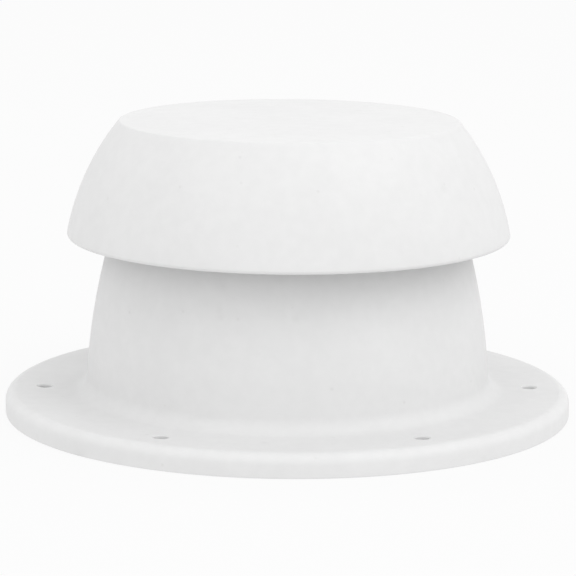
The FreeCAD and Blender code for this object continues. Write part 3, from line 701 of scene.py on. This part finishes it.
def clothTree():
    tree, given = newTree("Woven Wire", {
        "Pitch": "Float", "Wire Radius": "Float", "Outer Radius": "Float", "Inner Radius": "Float",
        "Height": "Float", "Sides": "Int"})
    across = addNode(tree, "ShaderNodeMath", {0: given["Outer Radius"], 1: 2.0}, operation="MULTIPLY")
    spaces = addNode(tree, "ShaderNodeMath", {0: across, 1: given["Pitch"]}, operation="DIVIDE")
    lines = addNode(tree, "ShaderNodeMath", {0: spaces}, operation="CEIL")
    count = addNode(tree, "ShaderNodeMath", {0: lines, 1: 1.0}, operation="ADD")
    reach = addNode(tree, "ShaderNodeMath", {0: lines, 1: given["Pitch"]}, operation="MULTIPLY")
    start = addNode(tree, "ShaderNodeMath", {0: reach, 1: -0.5}, operation="MULTIPLY")
    wireStart = addNode(tree, "ShaderNodeCombineXYZ", {"Y": start})
    wireStep = addNode(tree, "ShaderNodeCombineXYZ", {"Y": given["Pitch"]})
    wire = addNode(tree, "GeometryNodeMeshLine", {
        "Count": count, "Start Location": wireStart, "Offset": wireStep})
    rowStart = addNode(tree, "ShaderNodeCombineXYZ", {"X": start})
    rowStep = addNode(tree, "ShaderNodeCombineXYZ", {"X": given["Pitch"]})
    rows = addNode(tree, "GeometryNodeMeshLine", {
        "Count": count, "Start Location": rowStart, "Offset": rowStep})
    laid = addNode(tree, "GeometryNodeInstanceOnPoints", {"Points": rows, "Instance": wire})
    real = addNode(tree, "GeometryNodeRealizeInstances", {"Geometry": laid})
    # over and under: the sign changes from one crossing to the next, along a wire and across them
    where = addNode(tree, "GeometryNodeInputPosition")
    parts = addNode(tree, "ShaderNodeSeparateXYZ", {"Vector": where})
    total = addNode(tree, "ShaderNodeMath", {0: parts.outputs["X"], 1: parts.outputs["Y"]}, operation="ADD")
    fromStart = addNode(tree, "ShaderNodeMath", {0: total, 1: reach}, operation="ADD")
    cell = addNode(tree, "ShaderNodeMath", {0: fromStart, 1: given["Pitch"]}, operation="DIVIDE")
    wave = addNode(tree, "ShaderNodeMath", {0: cell, 1: pi}, operation="MULTIPLY")
    sign = addNode(tree, "ShaderNodeMath", {0: wave}, operation="COSINE")
    lift = addNode(tree, "ShaderNodeMath", {0: sign, 1: given["Wire Radius"]}, operation="MULTIPLY")
    offset = addNode(tree, "ShaderNodeCombineXYZ", {"Z": lift})
    woven = addNode(tree, "GeometryNodeSetPosition", {"Geometry": real, "Offset": offset})
    flat = addNode(tree, "ShaderNodeCombineXYZ", {"X": parts.outputs["X"], "Y": parts.outputs["Y"]})
    radius = addNode(tree, "ShaderNodeVectorMath", {0: flat}, operation="LENGTH")
    outside = addNode(tree, "ShaderNodeMath", {0: radius, 1: given["Outer Radius"]}, operation="GREATER_THAN")
    inside = addNode(tree, "ShaderNodeMath", {0: radius, 1: given["Inner Radius"]}, operation="LESS_THAN")
    gone = addNode(tree, "ShaderNodeMath", {0: outside, 1: inside}, operation="MAXIMUM")
    trimmed = addNode(tree, "GeometryNodeDeleteGeometry", {"Geometry": woven, "Selection": gone},
                      domain="POINT")
    # the other set of wires lies across the first and is its mirror in height
    crossing = addNode(tree, "GeometryNodeTransform", {
        "Geometry": trimmed, "Rotation": (0, 0, pi / 2), "Scale": (1, 1, -1)})
    both = addNode(tree, "GeometryNodeJoinGeometry", {"Geometry": [trimmed, crossing]})
    wires = addNode(tree, "GeometryNodeMeshToCurve", {"Mesh": both})
    section = addNode(tree, "GeometryNodeCurvePrimitiveCircle", {
        "Resolution": given["Sides"], "Radius": given["Wire Radius"]})
    drawn = addNode(tree, "GeometryNodeCurveToMesh", {
        "Curve": wires, "Profile Curve": section, "Fill Caps": True})
    smooth = addNode(tree, "GeometryNodeSetShadeSmooth", {"Geometry": drawn})
    raised = addNode(tree, "ShaderNodeCombineXYZ", {"Z": given["Height"]})
    placed = addNode(tree, "GeometryNodeTransform", {"Geometry": smooth, "Translation": raised})
    closeTree(tree, given, placed)
    return tree


def makeCloth():
    low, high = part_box("insect_mesh")
    piece = newPiece("insectMesh")
    runTree(piece, clothTree(), wireSteel, Pitch=cloth["pitch"] * mm, WireRadius=cloth["wire"] * mm,
            OuterRadius=cloth["outer"] * mm, InnerRadius=cloth["inner"] * mm, Height=(low.z + high.z) / 2,
            Sides=cloth["sides"])
    settle(piece, "base", "mesh_steel", "insect_mesh")


makeCloth()
print("insect mesh woven")


# spindle with its two-start thread

rod = {"radius": 5.0, "lead": 4.0, "starts": 2, "threadDepth": 0.9, "threadFrom": 43.0, "threadTo": 88.2,
       "crestEnd": 0.16, "rootStart": 0.34,  # flats, as shares of the way from a crest to the next
       "step": 0.2, "segments": 72, "groove": 4.0, "tail": 3.98, "collar": 2.5,
       "edge": 0.3, "topChamfer": 0.4, "skin": 0.1, "crease": 40}


def threadTree():
    tree, given = newTree("Thread", {
        "Lead": "Float", "Starts": "Float", "Depth": "Float", "From": "Float", "To": "Float",
        "Core": "Float"})
    where = addNode(tree, "GeometryNodeInputPosition")
    parts = addNode(tree, "ShaderNodeSeparateXYZ", {"Vector": where})
    height = parts.outputs["Z"]
    angle = addNode(tree, "ShaderNodeMath", {0: parts.outputs["Y"], 1: parts.outputs["X"]},
                    operation="ARCTAN2")
    turns = addNode(tree, "ShaderNodeMath", {0: angle, 1: 2 * pi}, operation="DIVIDE")
    rise = addNode(tree, "ShaderNodeMath", {0: height, 1: given["Lead"]}, operation="DIVIDE")
    lag = addNode(tree, "ShaderNodeMath", {0: rise, 1: turns}, operation="SUBTRACT")
    many = addNode(tree, "ShaderNodeMath", {0: lag, 1: given["Starts"]}, operation="MULTIPLY")
    saw = addNode(tree, "ShaderNodeMath", {0: many, 1: 0.5}, operation="PINGPONG")
    # 0 at the crest and 1 at the root, with flats on both, as on a trapezoidal thread
    groove = addNode(tree, "ShaderNodeMapRange", {
        "Value": saw, "From Min": rod["crestEnd"], "From Max": rod["rootStart"]})
    begin = addNode(tree, "ShaderNodeMath", {0: height, 1: given["From"]}, operation="GREATER_THAN")
    end = addNode(tree, "ShaderNodeMath", {0: height, 1: given["To"]}, operation="LESS_THAN")
    flat = addNode(tree, "ShaderNodeCombineXYZ", {"X": parts.outputs["X"], "Y": parts.outputs["Y"]})
    radius = addNode(tree, "ShaderNodeVectorMath", {0: flat}, operation="LENGTH")
    skin = addNode(tree, "ShaderNodeMath", {0: radius.outputs["Value"], 1: given["Core"]},
                   operation="GREATER_THAN")
    both = addNode(tree, "ShaderNodeMath", {0: begin, 1: end}, operation="MULTIPLY")
    zone = addNode(tree, "ShaderNodeMath", {0: both, 1: skin}, operation="MULTIPLY")
    cutIn = addNode(tree, "ShaderNodeMath", {0: groove, 1: zone}, operation="MULTIPLY")
    depth = addNode(tree, "ShaderNodeMath", {0: cutIn, 1: given["Depth"]}, operation="MULTIPLY")
    back = addNode(tree, "ShaderNodeMath", {0: depth, 1: -1.0}, operation="MULTIPLY")
    outward = addNode(tree, "ShaderNodeVectorMath", {0: flat}, operation="NORMALIZE")
    move = addNode(tree, "ShaderNodeVectorMath", {0: outward, "Scale": back}, operation="SCALE")
    cut = addNode(tree, "GeometryNodeSetPosition", {"Geometry": given["Geometry"], "Offset": move})
    closeTree(tree, given, cut)
    return tree


def makeSpindle():
    s = rod
    low, high = (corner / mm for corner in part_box("spindle"))
    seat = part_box("upper_washer")[1].z / mm
    clipFoot, clipTop = (corner.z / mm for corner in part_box("retaining_clip"))
    stopFoot, stopTop = (corner.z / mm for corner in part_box("stop_clip"))
    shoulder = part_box("hand_knob")[1].z / mm
    r, groove, tail, collar = s["radius"], s["groove"], s["tail"], seat + s["collar"]
    edge, chamfer = s["edge"], s["topChamfer"]
    # one row of corners before the thread and one after it
    rows = int((s["threadTo"] - s["threadFrom"]) / s["step"]) + 3
    shaft = [(r, s["threadFrom"] + (k - 1) * s["step"]) for k in range(rows)]
    outline = ([(0, low.z), (tail, low.z, edge), (tail, shoulder), (r, shoulder),
                (r, clipFoot), (groove, clipFoot), (groove, clipTop), (r, clipTop),
                (r, seat), (high.x, seat, edge), (high.x, collar, edge), (r, collar)]
               + shaft
               + [(r, stopFoot), (groove, stopFoot), (groove, stopTop), (r, stopTop),
                  (r, high.z - chamfer), (r - chamfer, high.z), (0, high.z)])
    piece = turnPiece("screwSpindle", outline, turnedSteel, closed=False, segments=s["segments"], steps=3)
    runTree(piece, threadTree(), turnedSteel, Lead=s["lead"] * mm, Starts=float(s["starts"]),
            Depth=s["threadDepth"] * mm, From=s["threadFrom"] * mm, To=s["threadTo"] * mm,
            Core=(r - s["skin"]) * mm)
    shadeByAngle(piece, s["crease"])
    settle(piece, "spindle_group", "spindle_steel", "spindle")


makeSpindle()
print("spindle made")


# floor, light and camera

studio = {
    "floorHalf": 6000, "floorHeight": -0.2,  # millimetres, just clear of the flange
    "floorColor": "#555555", "floorGlow": 0.87,  # pale paper, lit so evenly that it hides its shadows
    "sky": 1.03,
    "key": {"power": 3.9, "size": 1.2, "place": (0.9, -0.7, 1.3)},
    "top": {"power": 2.7, "size": 1.2, "place": (0.1, -0.55, 1.6)},
    "aim": (-0.0001, 0.0, 0.0455), "distance": 1.0281, "elevation": 10.947, "azimuth": -91.17,
    "roll": 0.455, "lens": 172.83, "sensor": 36, "farClip": 50,
}


def makeLight(name, given):
    lamp = bpy.data.lights.new(name, "AREA")
    lamp.shape = "DISK"
    lamp.size = given["size"]
    lamp.energy = given["power"]
    light = bpy.data.objects.new(name, lamp)
    light.location = given["place"]
    light.rotation_euler = (Vector(studio["aim"]) - light.location).to_track_quat("-Z", "Y").to_euler()
    scene.collection.objects.link(light)


def makeStudio():
    s = studio
    half, height = s["floorHalf"], s["floorHeight"]
    corners = [(-half, -half, height), (half, -half, height), (half, half, height), (-half, half, height)]
    floor = newPiece("floor", corners, faces=[(0, 1, 2, 3)])
    paper, tree, _ = newFinish("Pale studio paper")
    shader = addNode(tree, "ShaderNodeBsdfPrincipled", {
        "Base Color": s["floorColor"], "Roughness": 1.0, "Specular IOR Level": 0.0,
        "Emission Color": "#FFFFFF", "Emission Strength": s["floorGlow"]})
    addNode(tree, "ShaderNodeOutputMaterial", {"Surface": shader})
    floor.data.materials.append(paper)
    scene.world = bpy.data.worlds.new("studio")
    scene.world.use_nodes = True
    sky = scene.world.node_tree.nodes["Background"]
    sky.inputs["Color"].default_value = linear("#FFFFFF")
    sky.inputs["Strength"].default_value = s["sky"]
    makeLight("keyLight", s["key"])
    makeLight("topLight", s["top"])
    scene.view_settings.view_transform = "Standard"


def makeCamera():
    s = studio
    lens = bpy.data.cameras.new("camera")
    lens.lens = s["lens"]
    lens.sensor_width = s["sensor"]
    lens.clip_end = s["farClip"]
    camera = bpy.data.objects.new("camera", lens)
    az, el = radians(s["azimuth"]), radians(s["elevation"])
    away = Vector((cos(el) * cos(az), cos(el) * sin(az), sin(el)))
    turn = (-away).to_track_quat("-Z", "Y").to_matrix() @ Matrix.Rotation(radians(s["roll"]), 3, "Z")
    camera.matrix_world = Matrix.Translation(Vector(s["aim"]) + away * s["distance"]) @ turn.to_4x4()
    scene.collection.objects.link(camera)
    scene.camera = camera


makeStudio()
makeCamera()
print("studio ready")
